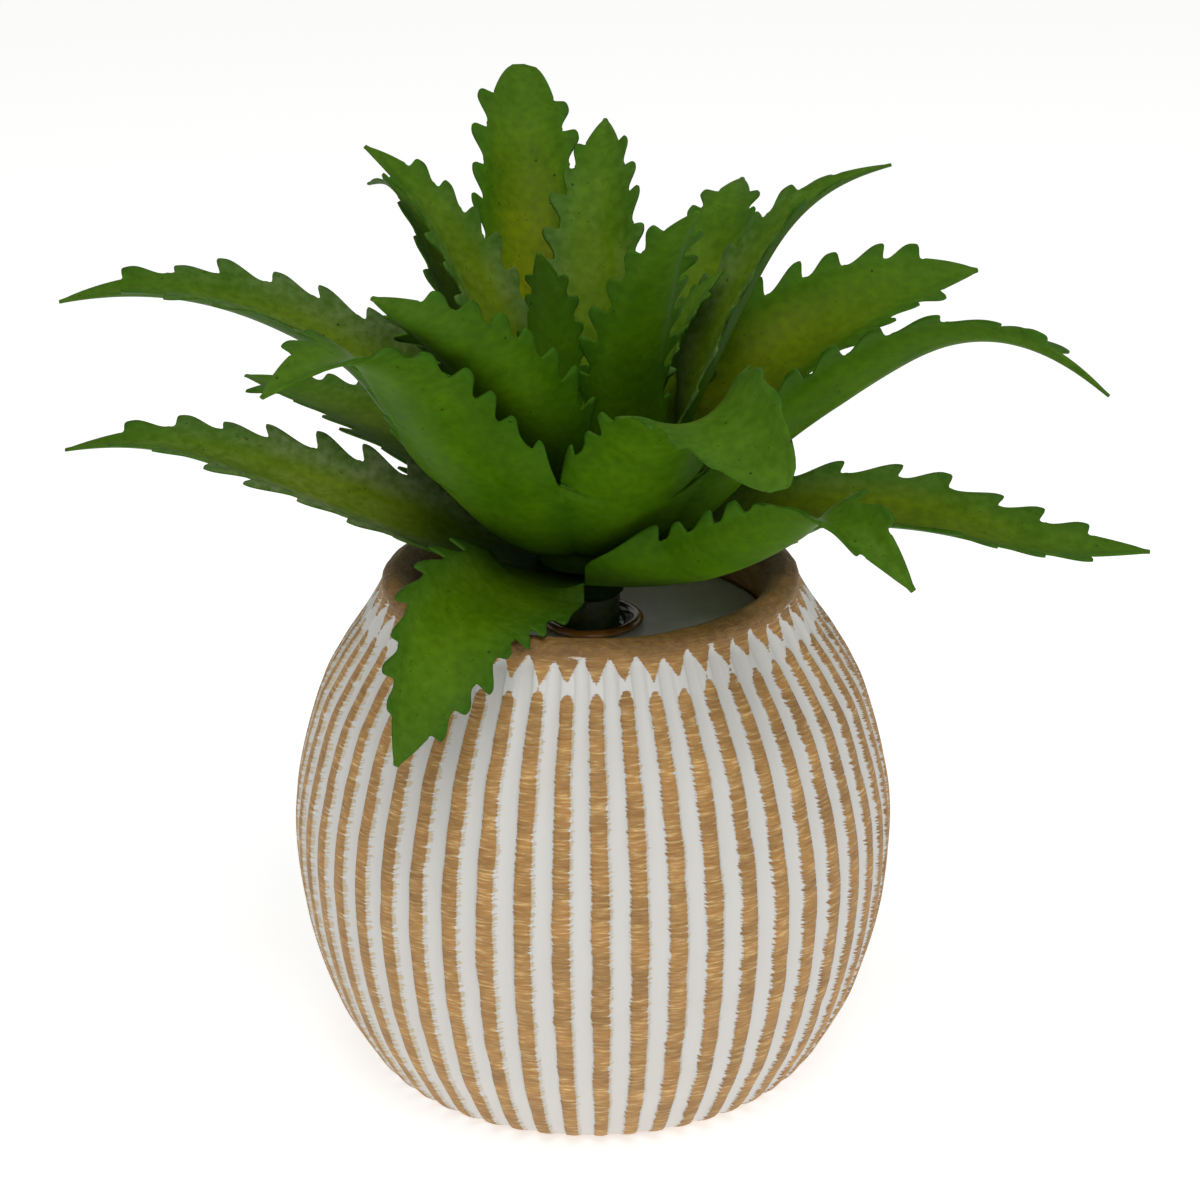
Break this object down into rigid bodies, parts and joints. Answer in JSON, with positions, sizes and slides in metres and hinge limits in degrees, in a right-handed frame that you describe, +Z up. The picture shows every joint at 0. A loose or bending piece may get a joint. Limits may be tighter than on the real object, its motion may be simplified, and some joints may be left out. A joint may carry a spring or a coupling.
{
  "type": "potted haworthia",
  "caption": "Artificial toothed-leaf succulent rosette, moulded in whorls on a short stem, standing in a small barrel planter with painted vertical ribs.",
  "frame": {"origin": "centre of the pot's foot, on the pot's axis, in the plane it stands on", "axes": "+Z up along the pot's axis, -Y towards the front, where the lowest leaf hangs over the rim, +X to the right seen from the front"},
  "size_m": [0.1692, 0.132, 0.1497],
  "materials": {
    "painted_cement": "matte glazed cement, white in the grooves and brushed brown on the ribs and lip",
    "cast_plug": "smooth cast grey",
    "hot_glue": "glossy amber",
    "stem_plastic": "satin olive green",
    "leaf_plastic_lower": "satin dark green, blue-green at the teeth",
    "leaf_plastic_middle": "satin green, olive at the foot",
    "leaf_plastic_upper": "satin green, olive at the foot",
    "leaf_plastic_heart": "satin yellow-green"
  },
  "bodies": {
    "root": {"pot": "painted_cement", "fill": "cast_plug", "glue": "hot_glue", "stem": "stem_plastic", "whorl_lower": "leaf_plastic_lower", "whorl_middle": "leaf_plastic_middle", "whorl_upper": "leaf_plastic_upper", "heart": "leaf_plastic_heart"}
  },
  "joints": []
}
